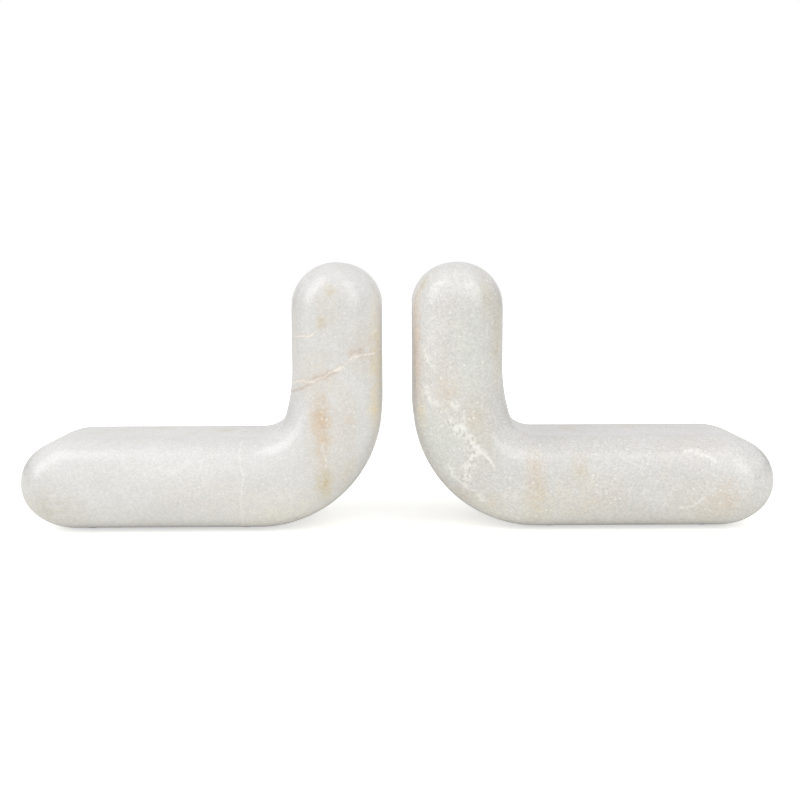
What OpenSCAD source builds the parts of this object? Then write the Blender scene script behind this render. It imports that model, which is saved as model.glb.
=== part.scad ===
// A pair of carved marble book ends. Each one is a single thick L-shaped bar of stone with every
// edge rounded: an upright for the books to lean on, and a long foot that points away from them.
// Four thin rubber pads under each foot keep the stone from sliding and from marking the shelf.

/* [Stone] */
// Height of the stone from its flat base to the top of the upright
stone_h = 130; // [116:1:160]
// Length from the book face of the upright to the tip of the foot
stone_len = 178; // [150:1:220]
// Depth from the front of the stone to its back
stone_depth = 75; // [68:1:110]
// Thickness of the upright
upright_t = 44; // [40:1:54]
// Thickness of the foot
foot_t = 45; // [42:1:56]

/* [Rounding] */
// Radius of the edges round the front and the back of the stone
edge_r = 19; // [6:0.5:20]
// Radius of the outer bend between the base and the book face
bend_r = 61; // [45:1:75]
// Radius of the inner corner where the upright runs out into the foot
corner_r = 16; // [8:1:24]
// Radius of the slow flare at the root of the upright, above the inner corner
flare_r = 82; // [50:1:100]
// Radius of the shoulders above and below the tip of the foot
shoulder_r = 30; // [26:1:40]

/* [Pads] */
// Diameter of a rubber pad
pad_d = 10; // [6:0.5:12]
// Thickness of a rubber pad
pad_h = 1.2; // [0.8:0.1:3]
// Radius of the pad's lower rim
pad_rim_r = 0.4; // [0.2:0.1:0.6]
// Bare stone left between a pad and the edge of the flat base
pad_margin = 2; // [0:0.5:4]

/* [Pair] */
// Distance between the two book faces
book_gap = 15; // [5:1:300]

/* [Hidden] */
$fn = 96;

stone_colour = "#dedcd6";
pad_colour = "#8d8f8e";

LEFT = -1;
RIGHT = 1;
FRONT = -1;
BACK = 1;

// Half of the least flat that stays between the rounded edges of one face
land = 1;
// How far a rounded strip runs in past its rounding, over the flat core of the bend
core_lap = 2 * land;
// Straight steps along each curved edge of that core
core_steps = 8;

// The stone is drawn lying on its back: X along the foot, Y up the upright, Z through the depth
WEST = [-1, 0];
EAST = [1, 0];
SOUTH = [0, -1];
NORTH = [0, 1];
// The flare gives way to the inner corner, and each shoulder to the nose, along the long side of
// a whole-number triangle, so that the centres of the arcs lie at short decimals
flare_end = [-24, -7] / 25;
shoulder_end = [3, 4] / 5;
low_shoulder_end = [3, -4] / 5;

// The top of the upright is a half round, and the tip of the foot a blunt nose between two shoulders
foot_mid = foot_t / 2;
cap_r = upright_t / 2;
nose_r = (foot_mid - shoulder_r * (1 - shoulder_end.y)) / shoulder_end.y;
edge = min(edge_r, cap_r - land, nose_r - land);
strip = edge + core_lap;
cap_y = stone_h - cap_r;
nose_x = stone_len - nose_r;
tip_x = nose_x - (shoulder_r - nose_r) * shoulder_end.x;
flare_x = upright_t + flare_r;
corner_x = flare_x + (flare_r - corner_r) * flare_end.x;
corner_y = foot_t + corner_r;
flare_y = corner_y - (flare_r - corner_r) * flare_end.y;

// Both sides of a bar are straight from these places on
upright_y = max(bend_r, flare_y);
foot_x = max(bend_r, corner_x);

// The flat base, and the pads at its four corners
base_depth = stone_depth - 2 * edge;
pad_inset = pad_margin + pad_d / 2;
heel_x = bend_r + pad_inset;
toe_x = tip_x - pad_inset;
pad_y = base_depth / 2 - pad_inset;

// Section of one rounded side: X from inside the stone out to its surface, Y through the depth
module side_section(reach) {
    translate([0, -stone_depth / 2])
        square([reach - edge, stone_depth]);
    translate([0, -base_depth / 2])
        square([reach, base_depth]);
    for (side = [FRONT, BACK])
        translate([reach - edge, side * base_depth / 2])
            intersection() {
                circle(r = edge);
                translate([0, side == FRONT ? -edge : 0])
                    square(edge);
            }
}

// The same section with its surface at X = 0, facing the other way
module facing_section(reach) {
    translate([reach, 0])
        mirror([1, 0])
            side_section(reach);
}

// Section of a whole bar, rounded on both sides
module bar_section(thickness) {
    facing_section(thickness / 2);
    translate([thickness / 2, 0])
        side_section(thickness / 2);
}

// Keeps the part of a turn that lies in the fan between the first and the last direction
module sector(directions) {
    intersection() {
        rotate_extrude()
            children();
        linear_extrude(height = stone_depth, center = true)
            polygon(concat([[0, 0]], stone_len * directions));
    }
}

// A rounded side swept about a centre inside the stone
module outside_turn(radius, reach, directions) {
    sector(directions)
        translate([radius - reach, 0])
            side_section(reach);
}

// A rounded side swept about a centre outside the stone
module inside_turn(radius, directions) {
    sector(directions)
        translate([radius, 0])
            facing_section(strip);
}

// A straight run up the drawing, between two heights
module run_up(from, to) {
    translate([0, to, 0])
        rotate([90, 0, 0])
            linear_extrude(height = to - from)
                children();
}

// A straight run along the drawing, between two lengths
module run_along(from, to) {
    translate([from, 0, 0])
        rotate([90, 0, 90])
            linear_extrude(height = to - from)
                children();
}

// Points on an arc between two directions, for the outline of the flat core
function arc(x, y, radius, from, to) = [
    for (i = [0:core_steps])
        let (d = from + (to - from) * i / core_steps)
        [x, y] + radius * d / norm(d)
];

module upright() {
    translate([cap_r, cap_y, 0])
        outside_turn(cap_r, cap_r, [EAST, EAST + NORTH, WEST + NORTH, WEST]);
    run_up(upright_y, cap_y)
        bar_section(upright_t);
}

// The outer bend, the flare and the inner corner, filled by a flat core, with the short straight
// stretches that lead from each of them to the bars
module bend() {
    core_inset = edge + land;
    translate([bend_r, bend_r, 0])
        outside_turn(bend_r, strip, [WEST, WEST + SOUTH, SOUTH]);
    translate([flare_x, flare_y, 0])
        inside_turn(flare_r, [WEST, flare_end]);
    translate([corner_x, corner_y, 0])
        inside_turn(corner_r, [flare_end, WEST + SOUTH, SOUTH]);
    if (upright_y > bend_r)
        run_up(bend_r, upright_y)
            facing_section(strip);
    if (upright_y > flare_y)
        run_up(flare_y, upright_y)
            translate([upright_t - strip, 0])
                side_section(strip);
    if (foot_x > bend_r)
        run_along(bend_r, foot_x)
            facing_section(strip);
    if (foot_x > corner_x)
        run_along(corner_x, foot_x)
            translate([foot_t - strip, 0])
                side_section(strip);
    linear_extrude(height = stone_depth, center = true)
        polygon(concat(
            [[core_inset, upright_y]],
            arc(bend_r, bend_r, bend_r - core_inset, WEST, SOUTH),
            [[foot_x, core_inset], [foot_x, foot_t - core_inset]],
            arc(corner_x, corner_y, corner_r + core_inset, SOUTH, flare_end),
            arc(flare_x, flare_y, flare_r + core_inset, flare_end, WEST),
            [[upright_t - core_inset, upright_y]]
        ));
}

module foot() {
    shoulder_reach = min(shoulder_r, nose_r);
    run_along(foot_x, tip_x)
        bar_section(foot_t);
    translate([tip_x, foot_t - shoulder_r, 0])
        outside_turn(shoulder_r, shoulder_reach, [shoulder_end, NORTH]);
    translate([tip_x, shoulder_r, 0])
        outside_turn(shoulder_r, shoulder_reach, [SOUTH, low_shoulder_end]);
    translate([nose_x, foot_mid, 0])
        outside_turn(nose_r, nose_r, [low_shoulder_end, EAST + SOUTH, EAST + NORTH, shoulder_end]);
    linear_extrude(height = stone_depth, center = true)
        polygon([
            [tip_x, edge],
            [nose_x, foot_mid - nose_r + edge],
            [nose_x, foot_mid + nose_r - edge],
            [tip_x, foot_t - edge]
        ]);
}

// Puts what is drawn for the right book end in its place on the given side of the gap
module on_side(side) {
    mirror([side == LEFT ? 1 : 0, 0, 0])
        translate([book_gap / 2, 0, 0])
            children();
}

module bookend(side) {
    color(stone_colour)
        on_side(side)
            translate([0, 0, pad_h])
                rotate([90, 0, 0]) {
                    upright();
                    bend();
                    foot();
                }
}

module pad(side, x, y) {
    color(pad_colour)
        on_side(side)
            translate([x, y, 0])
                rotate_extrude() {
                    square([pad_d / 2 - pad_rim_r, pad_h]);
                    translate([0, pad_rim_r])
                        square([pad_d / 2, pad_h - pad_rim_r]);
                    translate([pad_d / 2 - pad_rim_r, pad_rim_r])
                        circle(r = pad_rim_r);
                }
}

module left_bookend() { bookend(LEFT); }
module right_bookend() { bookend(RIGHT); }
module left_heel_front_pad() { pad(LEFT, heel_x, FRONT * pad_y); }
module left_heel_back_pad() { pad(LEFT, heel_x, BACK * pad_y); }
module left_toe_front_pad() { pad(LEFT, toe_x, FRONT * pad_y); }
module left_toe_back_pad() { pad(LEFT, toe_x, BACK * pad_y); }
module right_heel_front_pad() { pad(RIGHT, heel_x, FRONT * pad_y); }
module right_heel_back_pad() { pad(RIGHT, heel_x, BACK * pad_y); }
module right_toe_front_pad() { pad(RIGHT, toe_x, FRONT * pad_y); }
module right_toe_back_pad() { pad(RIGHT, toe_x, BACK * pad_y); }

left_bookend();
right_bookend();
left_heel_front_pad();
left_heel_back_pad();
left_toe_front_pad();
left_toe_back_pad();
right_heel_front_pad();
right_heel_back_pad();
right_toe_front_pad();
right_toe_back_pad();
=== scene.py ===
from math import atan2, cos, pi, radians, sin

import bpy
from mathutils import Euler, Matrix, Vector


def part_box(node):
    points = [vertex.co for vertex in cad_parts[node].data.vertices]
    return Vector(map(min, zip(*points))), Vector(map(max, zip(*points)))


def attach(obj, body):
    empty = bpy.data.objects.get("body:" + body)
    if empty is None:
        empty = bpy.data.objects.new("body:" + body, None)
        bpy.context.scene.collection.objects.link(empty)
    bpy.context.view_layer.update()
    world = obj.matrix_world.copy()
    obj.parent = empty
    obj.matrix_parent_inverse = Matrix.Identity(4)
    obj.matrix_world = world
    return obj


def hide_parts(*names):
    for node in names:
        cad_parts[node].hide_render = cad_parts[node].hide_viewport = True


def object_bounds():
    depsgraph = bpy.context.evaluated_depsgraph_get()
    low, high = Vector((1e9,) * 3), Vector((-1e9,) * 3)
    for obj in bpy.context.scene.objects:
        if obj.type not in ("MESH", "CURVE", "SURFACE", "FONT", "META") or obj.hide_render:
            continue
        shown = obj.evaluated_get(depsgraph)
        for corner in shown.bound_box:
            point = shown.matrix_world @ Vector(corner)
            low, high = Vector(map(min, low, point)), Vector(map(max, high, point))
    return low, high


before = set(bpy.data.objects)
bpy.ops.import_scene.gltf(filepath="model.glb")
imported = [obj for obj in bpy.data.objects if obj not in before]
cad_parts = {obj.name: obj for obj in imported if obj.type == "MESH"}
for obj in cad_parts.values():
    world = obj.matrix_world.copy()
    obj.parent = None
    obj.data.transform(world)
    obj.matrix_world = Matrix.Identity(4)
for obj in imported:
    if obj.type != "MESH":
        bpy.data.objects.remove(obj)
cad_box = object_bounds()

# The book ends: two thick L-shaped bars of white marble, each sawn from a block of its own, run round
# with a half-round wheel along the front and back edges, and ground and polished by hand. They stand
# free, and the left one is cut to the other hand.
MM = 0.001
stone_low, stone_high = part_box("right_bookend")
upright_thickness = 44 * MM
foot_thickness = 45 * MM
edge_radius = 19 * MM
bend_radius = 61 * MM
corner_radius = 16 * MM
# The flare at the root of the upright turns by the small angle of a 7-24-25 triangle, and each
# shoulder at the tip of the foot by that of a 3-4-5 triangle
flare_radius = 82 * MM
flare_turn = atan2(7, 24)
shoulder_radius = 30 * MM
shoulder_turn = atan2(3, 4)

cap_radius = upright_thickness / 2
nose_radius = (foot_thickness / 2 - shoulder_radius * (1 - cos(shoulder_turn))) / cos(shoulder_turn)
nose_x = stone_high.x - nose_radius
tip_x = nose_x - (shoulder_radius - nose_radius) * sin(shoulder_turn)
foot_top = stone_low.z + foot_thickness
inner_face_x = stone_low.x + upright_thickness
corner_x = inner_face_x + flare_radius - (flare_radius - corner_radius) * cos(flare_turn)
corner_z = foot_top + corner_radius
flare_z = corner_z + (flare_radius - corner_radius) * sin(flare_turn)
cap_z = stone_high.z - cap_radius
bend_x = stone_low.x + bend_radius
bend_z = stone_low.z + bend_radius

# Length of one step along the stone, and the fewest steps in one curve
facet = 2.2 * MM
fewest_steps = 6
# Points that are closer than the weld become one, and a point within touch of a plane lies on it
weld = 0.05 * MM
touch = 0.01 * MM
UPWARDS = (0, 0, 1)
BACKWARDS = (0, 1, 0)


def run(offset):
    """Draws the selected points out along a straight line, in steps of one facet."""
    steps = max(1, round(offset.length / facet))
    bpy.ops.mesh.extrude_repeat(steps=steps, offset=offset / steps)


def turn(centre, axis, angle, radius):
    """Draws the selected points out round a centre, in steps of one facet on the given radius."""
    steps = max(fewest_steps, round(abs(angle) * radius / facet))
    # spin counts its angle the other way round than the rest of Blender
    bpy.ops.mesh.spin(steps=steps, angle=-angle, center=centre, axis=axis)


def select_points(piece, is_wanted):
    """Selects the points of a piece by their place, and goes on in edit mode."""
    bpy.ops.object.mode_set(mode="EDIT")
    bpy.ops.mesh.select_mode(type="VERT")
    bpy.ops.mesh.select_all(action="DESELECT")
    bpy.ops.object.mode_set(mode="OBJECT")
    for point in piece.data.vertices:
        point.select = is_wanted(point.co)
    bpy.ops.object.mode_set(mode="EDIT")


# The right stone starts as a plane, drawn together to one point on the flat front
start = (stone_low.x + edge_radius, stone_low.y, bend_z)
bpy.ops.object.select_all(action="DESELECT")
bpy.ops.mesh.primitive_plane_add(size=edge_radius, location=start)
bpy.ops.object.transform_apply(location=True)
right_stone = bpy.context.object
right_stone.name = "right_stone"
bpy.ops.object.mode_set(mode="EDIT")
bpy.ops.mesh.merge(type="CENTER")

# That point is drawn into one side of the bar: a quarter round, a flat and a quarter round
front_edge = Vector((stone_low.x + edge_radius, stone_low.y + edge_radius, bend_z))
back_edge = Vector((stone_low.x + edge_radius, stone_high.y - edge_radius, bend_z))
turn(front_edge, UPWARDS, -pi / 2, edge_radius)
run(back_edge - front_edge)
turn(back_edge, UPWARDS, -pi / 2, edge_radius)

# The side is then led round the L: up the book face, over the top, out along the foot and back below
bpy.ops.mesh.select_all(action="SELECT")
run(Vector((0, 0, cap_z - bend_z)))
turn((stone_low.x + cap_radius, 0, cap_z), BACKWARDS, pi, cap_radius)
run(Vector((0, 0, flare_z - cap_z)))
turn((inner_face_x + flare_radius, 0, flare_z), BACKWARDS, -flare_turn, flare_radius)
turn((corner_x, 0, corner_z), BACKWARDS, flare_turn - pi / 2, corner_radius)
run(Vector((tip_x - corner_x, 0, 0)))
turn((tip_x, 0, foot_top - shoulder_radius), BACKWARDS, shoulder_turn, shoulder_radius)
turn((nose_x, 0, stone_low.z + foot_thickness / 2), BACKWARDS, pi - 2 * shoulder_turn, nose_radius)
turn((tip_x, 0, stone_low.z + shoulder_radius), BACKWARDS, shoulder_turn, shoulder_radius)
run(Vector((bend_x - tip_x, 0, 0)))
turn((bend_x, 0, bend_z), BACKWARDS, pi / 2, bend_radius)
bpy.ops.mesh.select_all(action="SELECT")
bpy.ops.mesh.remove_doubles(threshold=weld)

# The flat front and back close the bar, and are cut into a grid so that they can be uneven too
flat_grid = 4 * MM
for face_y in (stone_low.y, stone_high.y):
    select_points(right_stone, lambda place: abs(place.y - face_y) < touch)
    bpy.ops.mesh.edge_face_add()
for across, first, last in (
    (Vector((1, 0, 0)), stone_low.x, stone_high.x),
    (Vector((0, 0, 1)), stone_low.z, stone_high.z),
):
    for step in range(1, int((last - first) / flat_grid)):
        select_points(right_stone, lambda place: abs(abs(place.y) - stone_high.y) < touch)
        bpy.ops.mesh.bisect(plane_co=across * (first + step * flat_grid), plane_no=across)
bpy.ops.mesh.select_all(action="SELECT")
bpy.ops.mesh.remove_doubles(threshold=weld)
bpy.ops.mesh.normals_make_consistent(inside=False)
bpy.ops.object.mode_set(mode="OBJECT")

# The left stone is a mirrored copy, made before the polish, because each is polished by itself
bpy.ops.object.select_all(action="DESELECT")
right_stone.select_set(True)
bpy.ops.object.duplicate()
left_stone = bpy.context.object
left_stone.name = "left_stone"
left_stone.scale.x = -1
bpy.ops.object.transform_apply(scale=True)
bpy.ops.object.mode_set(mode="EDIT")
bpy.ops.mesh.select_all(action="SELECT")
bpy.ops.mesh.normals_make_consistent(inside=False)
bpy.ops.object.mode_set(mode="OBJECT")

# Polishing by hand leaves the sides slightly wavy. It takes nothing off the base, and its full depth
# from base_margin upwards
wave_size = 42 * MM
wave_depth = 0.12 * MM
base_margin = 12 * MM
waviness = bpy.data.textures.new("hand_polish", "CLOUDS")
waviness.noise_scale = wave_size
for stone in (left_stone, right_stone):
    bpy.ops.object.select_all(action="DESELECT")
    stone.select_set(True)
    bpy.context.view_layer.objects.active = stone
    worked = stone.vertex_groups.new(name="worked_by_hand")
    for point in stone.data.vertices:
        worked.add([point.index], min(1, (point.co.z - stone_low.z) / base_margin), "REPLACE")
    polish = stone.modifiers.new("hand_polish", "DISPLACE")
    polish.texture = waviness
    polish.texture_coords = "LOCAL"
    polish.vertex_group = worked.name
    polish.mid_level = 1
    polish.strength = wave_depth
    bpy.ops.object.modifier_apply(modifier=polish.name)
    bpy.ops.object.shade_smooth()

# Polished marble is a mass of calcite crystals that light enters and leaves again, so it looks soft and
# pale, with grains that sparkle, and the polish lays a gentle gloss over it. Iron tints it in places,
# and cracks that opened later have healed with whiter crystals.
CALCITE_IOR = 1.66
# Roughness where the polish is best and where it is worst
BEST_POLISH = 0.16
WORST_POLISH = 0.32

# Iron in the stone, from yellow to brown
# Paler than the stone's own tint there: painted light on edges in the shade of the gap
HONEY_AND_PAINTED_LIGHT = "#f0e2c0"
# A pale straw tint: painted bounce light over the shaded bottoms of the bends
PAINTED_BOUNCE_STRAW = "#f1ecdc"
OCHRE = "#d8caa9"
RUST = "#dcc8b0"
PEACH = "#e0d6c8"
# Paler than the stone's own tint there: painted light on edges in the shade of the gap
BLUSH_AND_PAINTED_LIGHT = "#f4e1d0"
# Pinker, greener, greyer and whiter places
PINK = "#e0d9d4"
MOSS = "#dee1da"
BEIGE = "#d9d5cc"
# The grey also serves as painted shade along the top edge of the right foot
ASH = "#d2d0cc"
# The whiter tint also serves as painted bounce light and as a painted highlight
MILK_AND_PAINTED_LIGHT = "#f0efed"
# The crystals of the veins, the borders of the veins, and painted shade for the hollows between the
# crystals
CREAM = "#fbf5ee"
CALCITE = "#f8f7f2"
SEAM = "#d0bbab"
PAINTED_PIT_SHADE = "#bdb9b0"

# Sizes of the patterns, in mm. The real crystals are about 0.3 mm across, and are drawn coarser so that
# they show
crystal_size = 0.7
glint_spacing = 2.2
crumb_size = 1.6
ragged_size = 4
cloud_size = 40
patch_size = 24
bed_thickness = 7
bed_length = 45
fold_size = 30
# The widest span of a boundary's strays out, back and up, and the size of its bends, in mm
stray = (4, 4, 4)
stray_size = 6
# Distance from the middle of the stone to its front, in mm
half_depth = -stone_low.y / MM
# The streaks and the patches grow to their full shares between these depths behind the front, in mm
streaks_begin = 6
streaks_full = 24
streaks_share = 0.55
patches_begin = 10
patches_full = 28
patches_share = 0.65
# Nearly all of a noise lies between these values, about this middle
NOISE_LOW = 0.3
NOISE_HIGH = 0.7
NOISE_MIDDLE = (0.5, 0.5, 0.5)
# Crumbs of a vein are gaps below the one value and solid grains above the other
CRUMB_GAP = 0.42
CRUMB_GRAIN = 0.56
# A vein is pinched and swollen to these shares of its usual width, fades within this many mm of its
# ends, and has this many mm of slack on both sides of its points
pinched = 0.2
swollen = 1.6
fade = 1
slack = 1


def to_linear(colour):
    """The linear colour of an sRGB hex value."""
    channels = [int(colour[i:i + 2], 16) / 255 for i in (1, 3, 5)]
    return [c / 12.92 if c <= 0.04045 else ((c + 0.055) / 1.055) ** 2.4 for c in channels] + [1]


def add(tree, kind, inputs, **settings):
    """Adds a node with its settings, and sets each input to a value or links it to a socket."""
    node = tree.nodes.new("ShaderNode" + kind)
    for name, value in settings.items():
        setattr(node, name, value)
    for name, value in inputs.items():
        if isinstance(value, bpy.types.NodeSocket):
            tree.links.new(value, node.inputs[name])
        else:
            node.inputs[name].default_value = value
    return node


def stain(tree, colour, place, flecks, tint, strength, centre, size):
    """Lays a cloud of flecks of another tint into the stone, and returns the colour with it. Some of these
    clouds are painted light or shade.
    centre and size are in mm: out from the book face, back from the middle, up from the base."""
    spot = add(tree, "Mapping", {0: place, "Location": centre, "Scale": size}, vector_type="TEXTURE")
    cloud = add(tree, "TexGradient", {0: spot.outputs[0]}, gradient_type="SPHERICAL")
    broken = add(tree, "Math", {0: cloud.outputs["Fac"], 1: flecks}, operation="MULTIPLY")
    share = add(tree, "Math", {0: broken.outputs[0], 1: strength}, operation="MULTIPLY", use_clamp=True)
    # Sockets of a Mix node share their names, so they go by number: 0 is the share, 2 and 3 are two
    # values, which output 0 gives mixed, and 6 and 7 are two colours, which output 2 gives mixed
    stained = add(tree, "Mix", {0: share.outputs[0], 6: colour, 7: to_linear(tint)}, data_type="RGBA")
    return stained.outputs[2]


def vein(
    tree, colour, place, ragged, crumbs, tint, strength, half_width, points,
    slant=0.1, upward=False, crumble=0, between=False,
):
    """Lays a thin crooked sheet of another mineral into the stone, and returns the colour with it.
    points are where it meets the front, in mm out from the book face and up from the base.
    slant is its drift aside for each mm inwards, and crumble how far it breaks up into grains.
    between puts it in the places between those grains instead, as for the painted shade of hollows."""
    split = add(tree, "SeparateXYZ", {0: place})
    run_axis, side_axis = ("Z", "X") if upward else ("X", "Z")
    pairs = sorted((up, out) if upward else (out, up) for out, up in points)
    starts, offsets = zip(*pairs)
    first, last = starts[0], starts[-1]
    low, high = min(offsets) - slack, max(offsets) + slack

    # The curve leads through the points, as shares of the way along the vein and of its reach aside
    way = add(tree, "MapRange", {"Value": split.outputs[run_axis], "From Min": first, "From Max": last})
    course = add(tree, "FloatCurve", {"Value": way.outputs[0]})
    curve = course.mapping.curves[0]
    for start, offset in pairs[1:-1]:
        curve.points.new((start - first) / (last - first), (offset - low) / (high - low))
    curve.points[0].location = (0, (offsets[0] - low) / (high - low))
    curve.points[-1].location = (1, (offsets[-1] - low) / (high - low))
    course.mapping.update()
    middle = add(tree, "MapRange", {"Value": course.outputs[0], "To Min": low, "To Max": high})
    inward = add(tree, "Math", {0: split.outputs["Y"], 1: half_depth}, operation="ADD")
    sheet = add(
        tree, "Math", {0: inward.outputs[0], 1: slant, 2: middle.outputs[0]}, operation="MULTIPLY_ADD",
    )

    # The vein is strongest on that sheet, and ends at its own ragged width and at its two ends
    aside = add(tree, "Math", {0: split.outputs[side_axis], 1: sheet.outputs[0]}, operation="SUBTRACT")
    away = add(tree, "Math", {0: aside.outputs[0]}, operation="ABSOLUTE")
    width = add(tree, "MapRange", {
        "Value": ragged, "From Min": NOISE_LOW, "From Max": NOISE_HIGH,
        "To Min": pinched * half_width, "To Max": swollen * half_width,
    })
    inside = add(tree, "MapRange", {
        "Value": away.outputs[0], "From Min": 0, "From Max": width.outputs[0],
        "To Min": strength, "To Max": 0,
    }, interpolation_type="SMOOTHSTEP")
    begun = add(tree, "MapRange", {
        "Value": split.outputs[run_axis], "From Min": first - fade, "From Max": first + fade,
    })
    unended = add(tree, "MapRange", {
        "Value": split.outputs[run_axis], "From Min": last - fade, "From Max": last + fade,
        "To Min": 1, "To Max": 0,
    })
    part = add(tree, "Math", {0: inside.outputs[0], 1: begun.outputs[0]}, operation="MULTIPLY")
    whole = add(tree, "Math", {0: part.outputs[0], 1: unended.outputs[0]}, operation="MULTIPLY")

    bare, full = (CRUMB_GRAIN, CRUMB_GAP) if between else (CRUMB_GAP, CRUMB_GRAIN)
    grains = add(tree, "MapRange", {
        "Value": crumbs, "From Min": bare, "From Max": full, "To Min": 1 - crumble, "To Max": 1,
    })
    share = add(tree, "Math", {0: whole.outputs[0], 1: grains.outputs[0]}, operation="MULTIPLY")
    veined = add(tree, "Mix", {0: share.outputs[0], 6: colour, 7: to_linear(tint)}, data_type="RGBA")
    return veined.outputs[2]


def polished_marble(name, hand, pale, dull, bed_lean, bed_share, grain, stains, veins):
    """White crystalline marble, ground and polished to a soft gloss. hand is -1 for the left stone.
    bed_lean is how far the beds lean, in degrees, and bed_share how strong they are at the front.
    grain is how far the crystals differ in tone."""
    material = bpy.data.materials.new(name)
    material.use_nodes = True
    tree = material.node_tree
    tree.nodes.clear()

    # Places in the stone, in mm: out from the book face, back from the middle, up from the base
    coordinates = add(tree, "TexCoord", {})
    place = add(tree, "Mapping", {
        0: coordinates.outputs["Object"],
        "Location": (-stone_low.x / MM, 0, -stone_low.z / MM),
        "Scale": (hand / MM, 1 / MM, 1 / MM),
    }).outputs[0]
    wander = add(tree, "TexNoise", {
        "Vector": place, "Scale": 1 / stray_size, "Detail": 4, "Roughness": 0.6,
    })
    strayed = add(tree, "VectorMath", {0: wander.outputs["Color"], 1: NOISE_MIDDLE}, operation="SUBTRACT")
    crooked = add(
        tree, "VectorMath", {0: strayed.outputs[0], 1: stray, 2: place}, operation="MULTIPLY_ADD",
    ).outputs[0]
    ragged = add(tree, "TexNoise", {
        "Vector": place, "Scale": 1 / ragged_size, "Detail": 6, "Roughness": 0.75,
    }).outputs["Fac"]
    crumbs = add(tree, "TexNoise", {"Vector": place, "Scale": 1 / crumb_size, "Detail": 2}).outputs["Fac"]

    # A vein that is straight on the front winds up and down on its way through to the back
    split = add(tree, "SeparateXYZ", {0: place})
    inward = add(tree, "Math", {0: split.outputs["Y"], 1: half_depth}, operation="ADD").outputs[0]
    folds = add(tree, "TexNoise", {"Vector": place, "Scale": 1 / fold_size, "Detail": 2})
    folded = add(tree, "VectorMath", {0: folds.outputs["Color"], 1: NOISE_MIDDLE}, operation="SUBTRACT")
    winding = add(
        tree, "VectorMath", {0: folded.outputs[0], 1: inward, 2: crooked}, operation="MULTIPLY_ADD",
    ).outputs[0]

    # Pale and duller stone lie in clouds
    clouds = add(tree, "TexNoise", {
        "Vector": crooked, "Scale": 1 / cloud_size, "Detail": 4, "Roughness": 0.55,
    })
    cloud_share = add(tree, "MapRange", {
        "Value": clouds.outputs["Fac"], "From Min": 0.35, "From Max": 0.65,
    })
    colour = add(tree, "Mix", {
        0: cloud_share.outputs[0], 6: to_linear(pale), 7: to_linear(dull),
    }, data_type="RGBA").outputs[2]

    # The beds that the stone was laid down in stand nearly upright, and show as faint warm streaks,
    # which grow stronger towards the back
    beds = add(tree, "Mapping", {
        0: crooked, "Rotation": (0, radians(bed_lean), 0),
        "Scale": (1 / bed_thickness, 1 / bed_thickness, 1 / bed_length),
    })
    streaks = add(tree, "TexNoise", {"Vector": beds.outputs[0], "Scale": 1, "Detail": 5, "Roughness": 0.6})
    streak_share = add(tree, "MapRange", {
        "Value": inward, "From Min": streaks_begin, "From Max": streaks_full,
        "To Min": bed_share, "To Max": streaks_share,
    })
    streak = add(tree, "MapRange", {
        "Value": streaks.outputs["Fac"], "From Min": 0.48, "From Max": 0.72,
        "To Max": streak_share.outputs[0],
    })
    colour = add(tree, "Mix", {
        0: streak.outputs[0], 6: colour, 7: to_linear(PEACH),
    }, data_type="RGBA").outputs[2]

    # Ochre patches lie deeper in, and come out on the top and the back
    patches = add(tree, "TexNoise", {
        "Vector": crooked, "Scale": 1 / patch_size, "Detail": 5, "Roughness": 0.6,
    })
    patch_share = add(tree, "MapRange", {
        "Value": inward, "From Min": patches_begin, "From Max": patches_full,
        "To Min": 0, "To Max": patches_share,
    })
    patch = add(tree, "MapRange", {
        "Value": patches.outputs["Fac"], "From Min": 0.54, "From Max": 0.72,
        "To Max": patch_share.outputs[0],
    })
    colour = add(tree, "Mix", {
        0: patch.outputs[0], 6: colour, 7: to_linear(OCHRE),
    }, data_type="RGBA").outputs[2]

    flecks = add(tree, "MapRange", {
        "Value": ragged, "From Min": 0.36, "From Max": 0.64, "To Min": 0.25, "To Max": 1.5,
    }).outputs[0]
    for each in stains:
        colour = stain(tree, colour, crooked, flecks, **each)

    # Each crystal is turned its own way, and so has its own tone
    crystals = add(tree, "TexVoronoi", {"Vector": place, "Scale": 1 / crystal_size})
    crystal_tone = add(tree, "SeparateColor", {0: crystals.outputs["Color"]})
    tone = add(tree, "MapRange", {
        "Value": crystal_tone.outputs[0], "To Min": 1 - grain, "To Max": 1 + grain,
    })
    mottling = grain / 3
    mottle = add(tree, "MapRange", {
        "Value": crumbs, "From Min": NOISE_LOW, "From Max": NOISE_HIGH,
        "To Min": 1 - mottling, "To Max": 1 + mottling,
    })
    grained = add(tree, "Math", {0: tone.outputs[0], 1: mottle.outputs[0]}, operation="MULTIPLY")
    colour = add(tree, "VectorMath", {0: colour, 1: grained.outputs[0]}, operation="MULTIPLY").outputs[0]

    # A few crystals here and there are whiter, painted near white so that they also stand in for glints of
    # light
    flash = 10 * grain
    glints = add(tree, "TexVoronoi", {"Vector": place, "Scale": 1 / glint_spacing})
    glint_tone = add(tree, "SeparateColor", {0: glints.outputs["Color"]})
    glint_core = add(tree, "MapRange", {
        "Value": glints.outputs["Distance"], "From Min": 0.1, "From Max": 0.35, "To Min": 1, "To Max": 0,
    })
    glint_rare = add(tree, "MapRange", {
        "Value": glint_tone.outputs[0], "From Min": 0.7, "From Max": 0.95, "To Max": flash,
    })
    glint = add(
        tree, "Math", {0: glint_core.outputs[0], 1: glint_rare.outputs[0]},
        operation="MULTIPLY", use_clamp=True,
    )
    colour = add(tree, "Mix", {
        0: glint.outputs[0], 6: colour, 7: to_linear(CALCITE),
    }, data_type="RGBA").outputs[2]

    for each in veins:
        colour = vein(tree, colour, winding, ragged, crumbs, **each)

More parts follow.
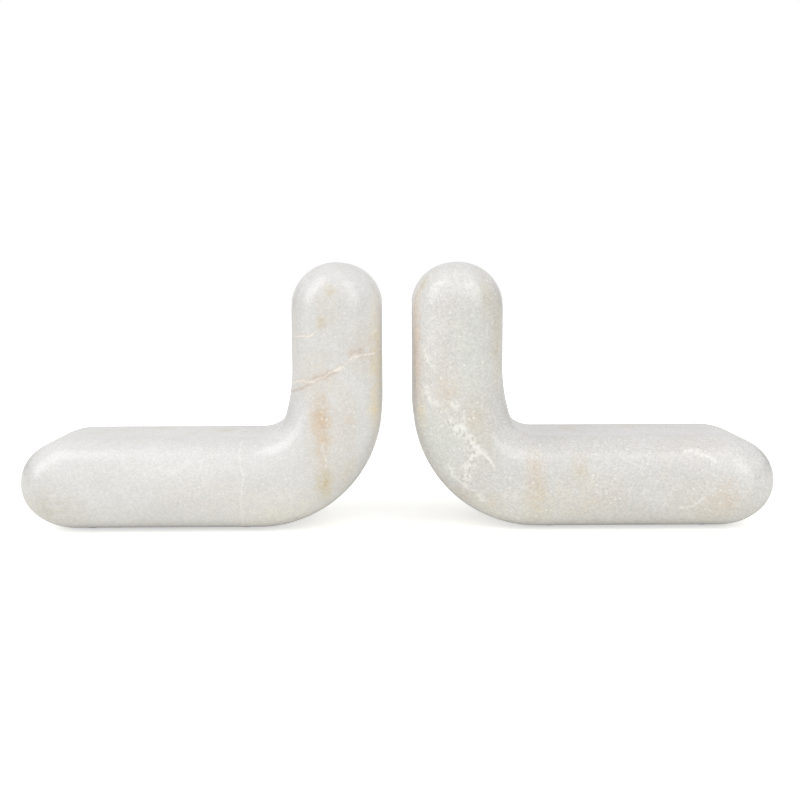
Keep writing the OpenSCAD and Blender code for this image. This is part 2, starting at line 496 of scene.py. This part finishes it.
    gloss = add(tree, "MapRange", {"Value": ragged, "To Min": BEST_POLISH, "To Max": WORST_POLISH})
    shader = add(tree, "BsdfPrincipled", {
        "Base Color": colour, "Roughness": gloss.outputs[0], "IOR": CALCITE_IOR,
    })
    add(tree, "OutputMaterial", {"Surface": shader.outputs[0]})
    return material


left_stains = [
    # Warm specks near the top of the upright
    dict(tint=PEACH, strength=0.3, centre=(25, -36, 110), size=(8, 14, 14)),
    dict(tint=OCHRE, strength=0.65, centre=(23.8, -36.5, 116.8), size=(3.6, 8, 4)),
    dict(tint=OCHRE, strength=0.6, centre=(28.1, -37, 101.9), size=(4.5, 8, 5)),
    # A rusty smear from the main vein down to the bend
    dict(tint=PEACH, strength=0.64, centre=(30, -37, 76), size=(18, 14, 14)),
    dict(tint=PEACH, strength=0.8, centre=(28.5, -36, 44), size=(10, 14, 38)),
    dict(tint=RUST, strength=0.95, centre=(29.6, -37, 56), size=(7, 10, 14)),
    dict(tint=RUST, strength=0.64, centre=(27.8, -37, 43), size=(4.5, 9, 12)),
    dict(tint=OCHRE, strength=0.95, centre=(27.6, -36, 24), size=(5.5, 10, 14)),
    # Yellow along the edge of the book face, and warm clouds beside it
    # The yellow is paler than the stone's own: painted light on the edge in the shade of the gap
    dict(tint=HONEY_AND_PAINTED_LIGHT, strength=0.7, centre=(2.6, -27, 84), size=(6, 11, 42)),
    dict(tint=HONEY_AND_PAINTED_LIGHT, strength=0.7, centre=(3.3, -29, 60), size=(6, 9, 12)),
    dict(tint=PEACH, strength=0.72, centre=(16.6, -37, 56), size=(8, 10, 18)),
    dict(tint=PEACH, strength=0.64, centre=(16.7, -33, 30), size=(8, 10, 18)),
    dict(tint=PEACH, strength=0.56, centre=(9, -34, 88), size=(14, 14, 16)),
    # The foot: pinkish in the middle, painted bounce light below the bend, greyer at the tip, and a
    # painted highlight along the top
    dict(tint=PINK, strength=0.64, centre=(83, -37, 22), size=(40, 22, 14)),
    dict(tint=PAINTED_BOUNCE_STRAW, strength=0.65, centre=(45, -34, 9), size=(34, 18, 16)),
    dict(tint=MILK_AND_PAINTED_LIGHT, strength=0.3, centre=(45, -34, 9), size=(34, 18, 16)),
    dict(tint=BEIGE, strength=1, centre=(160, -32, 13), size=(24, 18, 16)),
    dict(tint=ASH, strength=0.4, centre=(166, -28, 24), size=(16, 20, 16)),
    dict(tint=MILK_AND_PAINTED_LIGHT, strength=0.7, centre=(97, -37, 31), size=(52, 16, 15)),
    # A greyer cast over the upright
    dict(tint=BEIGE, strength=0.3, centre=(21, -37, 104), size=(14, 12, 30)),
    dict(tint=BEIGE, strength=0.4, centre=(43, -30, 98), size=(6, 10, 30)),
]
main_vein = [
    (48, 69.5), (43.2, 71), (37.7, 73.2), (34.2, 73.4), (29.4, 75), (23.6, 78.3), (18, 81.1), (12.8, 85.3),
    (8.6, 85.6), (3.4, 85.5), (-1, 86),
]
short_vein = [(46, 93.6), (40.6, 93.9), (34.4, 95.2), (31, 97.2)]
left_veins = [
    # The main vein across the upright: its brown borders, its cream crystals and two knots of them
    dict(tint=SEAM, strength=0.35, half_width=2, crumble=0.3, points=main_vein),
    dict(tint=SEAM, strength=0.8, half_width=3.4, crumble=0.5,
         points=[(33, 75), (28, 76.5), (24, 77.5), (20.8, 79)]),
    dict(tint=SEAM, strength=0.6, half_width=2.6, crumble=0.5,
         points=[(15.5, 86.5), (11.3, 87.8), (8.5, 87.4)]),
    dict(tint=CREAM, strength=1, half_width=1, crumble=0.55, points=main_vein),
    dict(tint=CREAM, strength=0.9, half_width=2.2, crumble=0.6,
         points=[(22.5, 78.8), (20.5, 79.8), (18.5, 80.8)]),
    dict(tint=CREAM, strength=0.9, half_width=2.4, crumble=0.6,
         points=[(14.6, 83.8), (12.8, 85.3), (11, 85.5)]),
    # A brown branch below it, and the short vein and a scratch of cream above it
    dict(tint=SEAM, strength=0.65, half_width=1.2, crumble=0.4,
         points=[(47, 66.5), (43.7, 67.5), (37.8, 70.3), (33.7, 72.9)]),
    dict(tint=SEAM, strength=0.3, half_width=1.5, crumble=0.3, points=short_vein),
    dict(tint=CREAM, strength=0.9, half_width=0.9, crumble=0.3, points=short_vein),
    dict(tint=CREAM, strength=0.9, half_width=0.8,
         points=[(5, 94), (3.8, 95.7), (2.4, 98), (1, 99)]),
    # A trail of grains down the rusty smear
    dict(tint=CREAM, strength=0.5, half_width=1.4, crumble=1, upward=True,
         points=[(27.8, 47), (28.2, 43), (26.8, 36), (27.4, 31)]),
    # A thin white vein straight across the foot, and a short one along its top
    dict(tint=CALCITE, strength=0.5, half_width=1, crumble=0.5, slant=0.02, upward=True,
         points=[(67.7, 46), (67.7, 36), (66.8, 27), (67.7, 17), (67.9, 0)]),
    dict(tint=CALCITE, strength=0.4, half_width=0.7, crumble=0.6, slant=0.02,
         points=[(121, 42), (123.3, 43.2), (125.6, 43.9), (131, 44.9)]),
]
left_stone.data.materials.append(polished_marble(
    "left_marble", hand=-1, pale="#e8e7e6", dull="#e2e1df", bed_lean=3, bed_share=0.15, grain=0.06,
    stains=left_stains, veins=left_veins,
))

right_stains = [
    # A blush and yellow along the edge of the book face, made paler as painted light in the shade of the
    # gap
    dict(tint=BLUSH_AND_PAINTED_LIGHT, strength=0.8, centre=(1.4, -25, 103), size=(4, 10, 26)),
    dict(tint=BLUSH_AND_PAINTED_LIGHT, strength=0.64, centre=(2, -27, 76), size=(4, 10, 30)),
    dict(tint=HONEY_AND_PAINTED_LIGHT, strength=0.6, centre=(4, -30, 56), size=(4, 9, 11)),
    # Painted bounce light below the bend
    dict(tint=PAINTED_BOUNCE_STRAW, strength=0.4, centre=(45, -34, 9), size=(34, 18, 16)),
    dict(tint=MILK_AND_PAINTED_LIGHT, strength=0.5, centre=(45, -34, 9), size=(34, 18, 16)),
    # The upright: ochre along its inner face and at the top, warm on the side of the books
    dict(tint=OCHRE, strength=0.45, centre=(35, -33, 114), size=(7, 9, 14)),
    dict(tint=OCHRE, strength=0.55, centre=(40.5, -30, 91), size=(5, 9, 28)),
    dict(tint=OCHRE, strength=0.4, centre=(5.2, -26, 120), size=(6, 8, 8)),
    dict(tint=PINK, strength=0.5, centre=(13, -37, 88), size=(12, 14, 42)),
    dict(tint=PEACH, strength=0.8, centre=(16.4, -37, 68), size=(10, 11, 20)),
    # Greyer and greener stone round the crystal veins, with rust below them
    dict(tint=BEIGE, strength=0.9, centre=(28.5, -37, 56), size=(12, 12, 22)),
    dict(tint=BEIGE, strength=0.9, centre=(33.8, -37, 43), size=(10, 12, 18)),
    dict(tint=PEACH, strength=0.6, centre=(29, -37, 57), size=(8, 10, 14)),
    dict(tint=MOSS, strength=0.7, centre=(28, -37, 88), size=(14, 14, 34)),
    dict(tint=MOSS, strength=0.8, centre=(12.5, -35, 45), size=(16, 14, 24)),
    dict(tint=RUST, strength=0.38, centre=(24, -31, 17), size=(10, 9, 7)),
    dict(tint=RUST, strength=0.3, centre=(36.7, -34, 14.3), size=(9, 9, 8)),
    # Streaks across the foot, and a warm tip
    dict(tint=RUST, strength=0.5, centre=(58.5, -37, 30), size=(7, 10, 22)),
    dict(tint=OCHRE, strength=0.4, centre=(60, -36, 14), size=(10, 10, 16)),
    dict(tint=OCHRE, strength=0.45, centre=(80, -37, 32), size=(6, 9, 11)),
    dict(tint=PEACH, strength=0.6, centre=(84.4, -37, 16), size=(20, 12, 16)),
    dict(tint=RUST, strength=0.4, centre=(151, -36, 14), size=(9, 10, 13)),
    dict(tint=PEACH, strength=0.7, centre=(143, -36, 14), size=(24, 12, 16)),
    dict(tint=PINK, strength=0.6, centre=(136, -30, 41), size=(28, 14, 14)),
    # Painted shade along the top edge of the foot, to dim its lit band, then whiter places, and a greyer
    # inner face
    dict(tint=ASH, strength=0.5, centre=(110, -35, 38), size=(80, 12, 8)),
    dict(tint=MILK_AND_PAINTED_LIGHT, strength=0.7, centre=(8, -36, 98), size=(8, 12, 28)),
    dict(tint=MILK_AND_PAINTED_LIGHT, strength=0.7, centre=(22, -30, 120), size=(16, 16, 12)),
    dict(tint=MILK_AND_PAINTED_LIGHT, strength=0.5, centre=(164, -28, 28), size=(14, 18, 16)),
    dict(tint=BEIGE, strength=0.6, centre=(40, -31, 98), size=(8, 10, 34)),
]
right_veins = [
    # Painted shade in the hollows between the crystals on the bend
    dict(tint=PAINTED_PIT_SHADE, strength=0.5, half_width=4.5, crumble=1, between=True,
         points=[(16, 56), (20, 52.6), (24, 49), (28.6, 43), (31.5, 39.4)]),
    dict(tint=PAINTED_PIT_SHADE, strength=0.5, half_width=4, crumble=1, between=True, upward=True,
         points=[(28, 42), (27.4, 36), (25.6, 31), (25, 24)]),
    # Crystal veins from the book face across the bend: a solid one with crumbled ones about it
    dict(tint=CALCITE, strength=1, half_width=3.6, crumble=0.6, upward=True,
         points=[(4.6, 73), (6.4, 67.6), (7.8, 65.3), (11, 62)]),
    dict(tint=CALCITE, strength=0.9, half_width=4, crumble=0.9,
         points=[(17, 62), (20.5, 62.2), (23, 59), (24.5, 55.5)]),
    dict(tint=CALCITE, strength=1, half_width=6.5, crumble=1,
         points=[(16, 55), (19.5, 51.8), (22.8, 51.3), (25.7, 48), (30, 41.7)]),
    dict(tint=CALCITE, strength=1, half_width=3, crumble=0.25,
         points=[(19.5, 52.5), (22.8, 51.3), (25.7, 48), (30, 41.7), (36.3, 35.9), (38.2, 32.5)]),
    dict(tint=CALCITE, strength=1, half_width=5.5, crumble=0.95, upward=True,
         points=[(28.9, 43.5), (28.2, 37), (26.3, 32), (25.6, 28), (25.9, 25.5)]),
    dict(tint=CALCITE, strength=1, half_width=4, crumble=0.85, upward=True,
         points=[(17, 33.5), (18.4, 29.5), (23.7, 23.6), (26.5, 21.4), (30.8, 19.4), (33.6, 14)]),
    dict(tint=CALCITE, strength=0.9, half_width=2.6, crumble=1, upward=True,
         points=[(4.6, 89), (6.4, 83.4), (8, 80)]),
    # Two short ones near the tip of the foot
    dict(tint=CALCITE, strength=0.8, half_width=1.6, crumble=0.7,
         points=[(130, 38.4), (135.6, 38.4), (142.3, 34.9), (146, 33)]),
    dict(tint=CALCITE, strength=0.8, half_width=1.8, crumble=0.7,
         points=[(128, 12), (133, 12.6), (139.3, 16.8)]),
]
right_stone.data.materials.append(polished_marble(
    "right_marble", hand=1, pale="#e5e4e2", dull="#dddbd8", bed_lean=-14, bed_share=0.25, grain=0.09,
    stains=right_stains, veins=right_veins,
))

for stone, body, node in (
    (left_stone, "left_end", "left_bookend"),
    (right_stone, "right_end", "right_bookend"),
):
    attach(stone, body)
    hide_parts(node)

# The pads: eight thin discs of grey rubber, punched from a sheet and stuck under the corners of the
# flat base, so that the stones don't slide and don't mark the shelf.
RUBBER_IOR = 1.52
DARK_RUBBER = "#858786"
DUSTY_RUBBER = "#979998"
# Rubber is matt and even in tone, with a bloom of dust in its pores. These are far finer than this
# size, and are drawn coarser so that they show
pore_size = 0.6 * MM
pore_depth = 0.05 * MM
rubber = bpy.data.materials.new("matt_rubber")
rubber.use_nodes = True
tree = rubber.node_tree
tree.nodes.clear()
coordinates = add(tree, "TexCoord", {})
dust = add(tree, "TexNoise", {
    "Vector": coordinates.outputs["Object"], "Scale": 1 / pore_size, "Detail": 3,
})
tone = add(tree, "Mix", {
    0: dust.outputs["Fac"], 6: to_linear(DARK_RUBBER), 7: to_linear(DUSTY_RUBBER),
}, data_type="RGBA")
rub = add(tree, "MapRange", {"Value": dust.outputs["Fac"], "To Min": 0.6, "To Max": 0.85})
pores = add(tree, "Bump", {"Height": dust.outputs["Fac"], "Strength": 0.4, "Distance": pore_depth})
shader = add(tree, "BsdfPrincipled", {
    "Base Color": tone.outputs[2], "Roughness": rub.outputs[0], "Normal": pores.outputs[0],
    "IOR": RUBBER_IOR,
})
add(tree, "OutputMaterial", {"Surface": shader.outputs[0]})
for name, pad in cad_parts.items():
    if name.endswith("_pad"):
        pad.data.materials.clear()
        pad.data.materials.append(rubber)

# The floor: a sheet of matt white paper under the stones. The camera sees it lifted to white, and less
# so near the stones, where it keeps their shadow. Reflections get a little of that glow.
PAPER = "#f5f5f0"
floor_size = 8000 * MM
# To the camera the paper glows this much near the stones, rising to 1 at white_from. In reflections
# it has a faint glow all over
near_glow = 0.58
white_from = 450 * MM
reflected_glow = 0.12
bpy.ops.object.select_all(action="DESELECT")
bpy.ops.mesh.primitive_plane_add(size=floor_size, location=(0, 0, cad_box[0].z))
floor = bpy.context.object
floor.name = "floor"
paper = bpy.data.materials.new("white_paper")
paper.use_nodes = True
tree = paper.node_tree
tree.nodes.clear()
seen = add(tree, "LightPath", {})
shown = add(tree, "Math", {
    0: seen.outputs["Is Camera Ray"], 1: seen.outputs["Is Transmission Ray"],
}, operation="MAXIMUM")
coordinates = add(tree, "TexCoord", {})
near = add(tree, "Mapping", {
    0: coordinates.outputs["Object"], "Scale": (1 / white_from, 1 / white_from, 1),
})
disc = add(tree, "TexGradient", {0: near.outputs[0]}, gradient_type="SPHERICAL")
lift = add(tree, "MapRange", {
    "Value": disc.outputs["Fac"], "From Min": 0, "From Max": 0.5, "To Min": 1, "To Max": near_glow,
})
lifted = add(tree, "Math", {0: lift.outputs[0], 1: shown.outputs[0]}, operation="MULTIPLY")
glow = add(tree, "Math", {
    0: seen.outputs["Is Glossy Ray"], 1: reflected_glow, 2: lifted.outputs[0],
}, operation="MULTIPLY_ADD")
shader = add(tree, "BsdfPrincipled", {
    "Base Color": to_linear(PAPER), "Roughness": 0.9, "Specular IOR Level": 0.1,
    "Emission Color": (1, 1, 1, 1), "Emission Strength": glow.outputs[0],
})
add(tree, "OutputMaterial", {"Surface": shader.outputs[0]})
floor.data.materials.append(paper)

# The studio: a white tent that is lit more from the front than from behind. The camera sees plain white.
# Reflections see its walls, a brighter backdrop, and dark flags on both sides that draw the stones' edges.
front_light = 0.76
back_light = 0.38
wall_light = 0.8
backdrop_light = 0.85
flag_light = 0.12
bpy.context.scene.view_settings.view_transform = "Standard"
world = bpy.data.worlds.new("studio_room")
bpy.context.scene.world = world
world.use_nodes = True
tree = world.node_tree
tree.nodes.clear()
seen = add(tree, "LightPath", {})
shown = add(tree, "Math", {
    0: seen.outputs["Is Camera Ray"], 1: seen.outputs["Is Transmission Ray"],
}, operation="MAXIMUM")
# The limits of the backdrop and of the flags are shares of a direction that is 1 long
direction = add(tree, "TexCoord", {}).outputs["Generated"]
axes = add(tree, "SeparateXYZ", {0: direction})
behind = add(tree, "MapRange", {
    "Value": axes.outputs["Y"], "From Min": 0.3, "From Max": 0.6,
}, interpolation_type="SMOOTHSTEP")
low = add(tree, "MapRange", {
    "Value": axes.outputs["Z"], "From Min": 0.25, "From Max": 0.5, "To Min": 1, "To Max": 0,
}, interpolation_type="SMOOTHSTEP")
backdrop = add(tree, "Math", {0: behind.outputs[0], 1: low.outputs[0]}, operation="MULTIPLY")
bright = add(tree, "MapRange", {
    "Value": backdrop.outputs[0], "To Min": wall_light, "To Max": backdrop_light,
})
sideways = add(tree, "Math", {0: axes.outputs["X"]}, operation="ABSOLUTE")
beside = add(tree, "MapRange", {
    "Value": sideways.outputs[0], "From Min": 0.5, "From Max": 0.68,
}, interpolation_type="SMOOTHSTEP")
flags = add(tree, "Math", {0: beside.outputs[0], 1: low.outputs[0]}, operation="MULTIPLY")
mirrored = add(tree, "Mix", {0: flags.outputs[0], 2: bright.outputs[0], 3: flag_light})
towards = add(tree, "VectorMath", {0: direction, 1: (0, -1, 0)}, operation="DOT_PRODUCT")
tent = add(tree, "MapRange", {
    "Value": towards.outputs["Value"], "From Min": -1, "From Max": 1,
    "To Min": back_light, "To Max": front_light,
})
room = add(tree, "Mix", {0: seen.outputs["Is Glossy Ray"], 2: tent.outputs[0], 3: mirrored.outputs[0]})
wall = add(tree, "Mix", {0: shown.outputs[0], 2: room.outputs[0], 3: 1})
walls = add(tree, "Background", {"Color": (1, 1, 1, 1), "Strength": wall.outputs[0]})
add(tree, "OutputWorld", {"Surface": walls.outputs[0]})

# The lamps: a soft box on each side and a panel overhead, turned to the middle of the pair. Each has its
# degrees round from the front and up, then its distance, width and height in m, and its watts.
lamp_target = Vector((0, 0, 60 * MM))
for name, azimuth, elevation, distance, width, height, power in (
    ("left_softbox", -66, 36, 1.1, 0.5, 1.2, 3.5),
    ("right_softbox", 40, 34, 1.1, 0.45, 1.2, 2.6),
    ("overhead_panel", 0, 75, 1.2, 1.6, 0.9, 1.0),
):
    lamp_data = bpy.data.lights.new(name, "AREA")
    lamp_data.shape = "RECTANGLE"
    lamp_data.size = width
    lamp_data.size_y = height
    lamp_data.energy = power
    lamp = bpy.data.objects.new(name, lamp_data)
    bpy.context.scene.collection.objects.link(lamp)
    round_by = radians(azimuth)
    up_by = radians(elevation)
    away = Vector((sin(round_by) * cos(up_by), -cos(round_by) * cos(up_by), sin(up_by)))
    lamp.location = lamp_target + away * distance
    lamp.rotation_euler = away.to_track_quat("Z", "Y").to_euler()

# The camera: it stands level with the tops of the uprights and looks slightly down on the feet. Its
# angles are in radians.
camera_place = (-2 * MM, -555 * MM, 127.1 * MM)
camera_pan = -0.006
camera_tilt = 0.1174
camera_roll = -0.0042
camera_data = bpy.data.cameras.new("camera")
camera_data.sensor_width = 36
camera_data.lens = 49.5
camera = bpy.data.objects.new("camera", camera_data)
bpy.context.scene.collection.objects.link(camera)
camera.location = camera_place
camera.rotation_mode = "QUATERNION"
camera.rotation_quaternion = (
    Euler((0, 0, camera_pan)).to_quaternion()
    @ Euler((pi / 2 - camera_tilt, 0, 0)).to_quaternion()
    @ Euler((0, 0, camera_roll)).to_quaternion()
)
bpy.context.scene.camera = camera
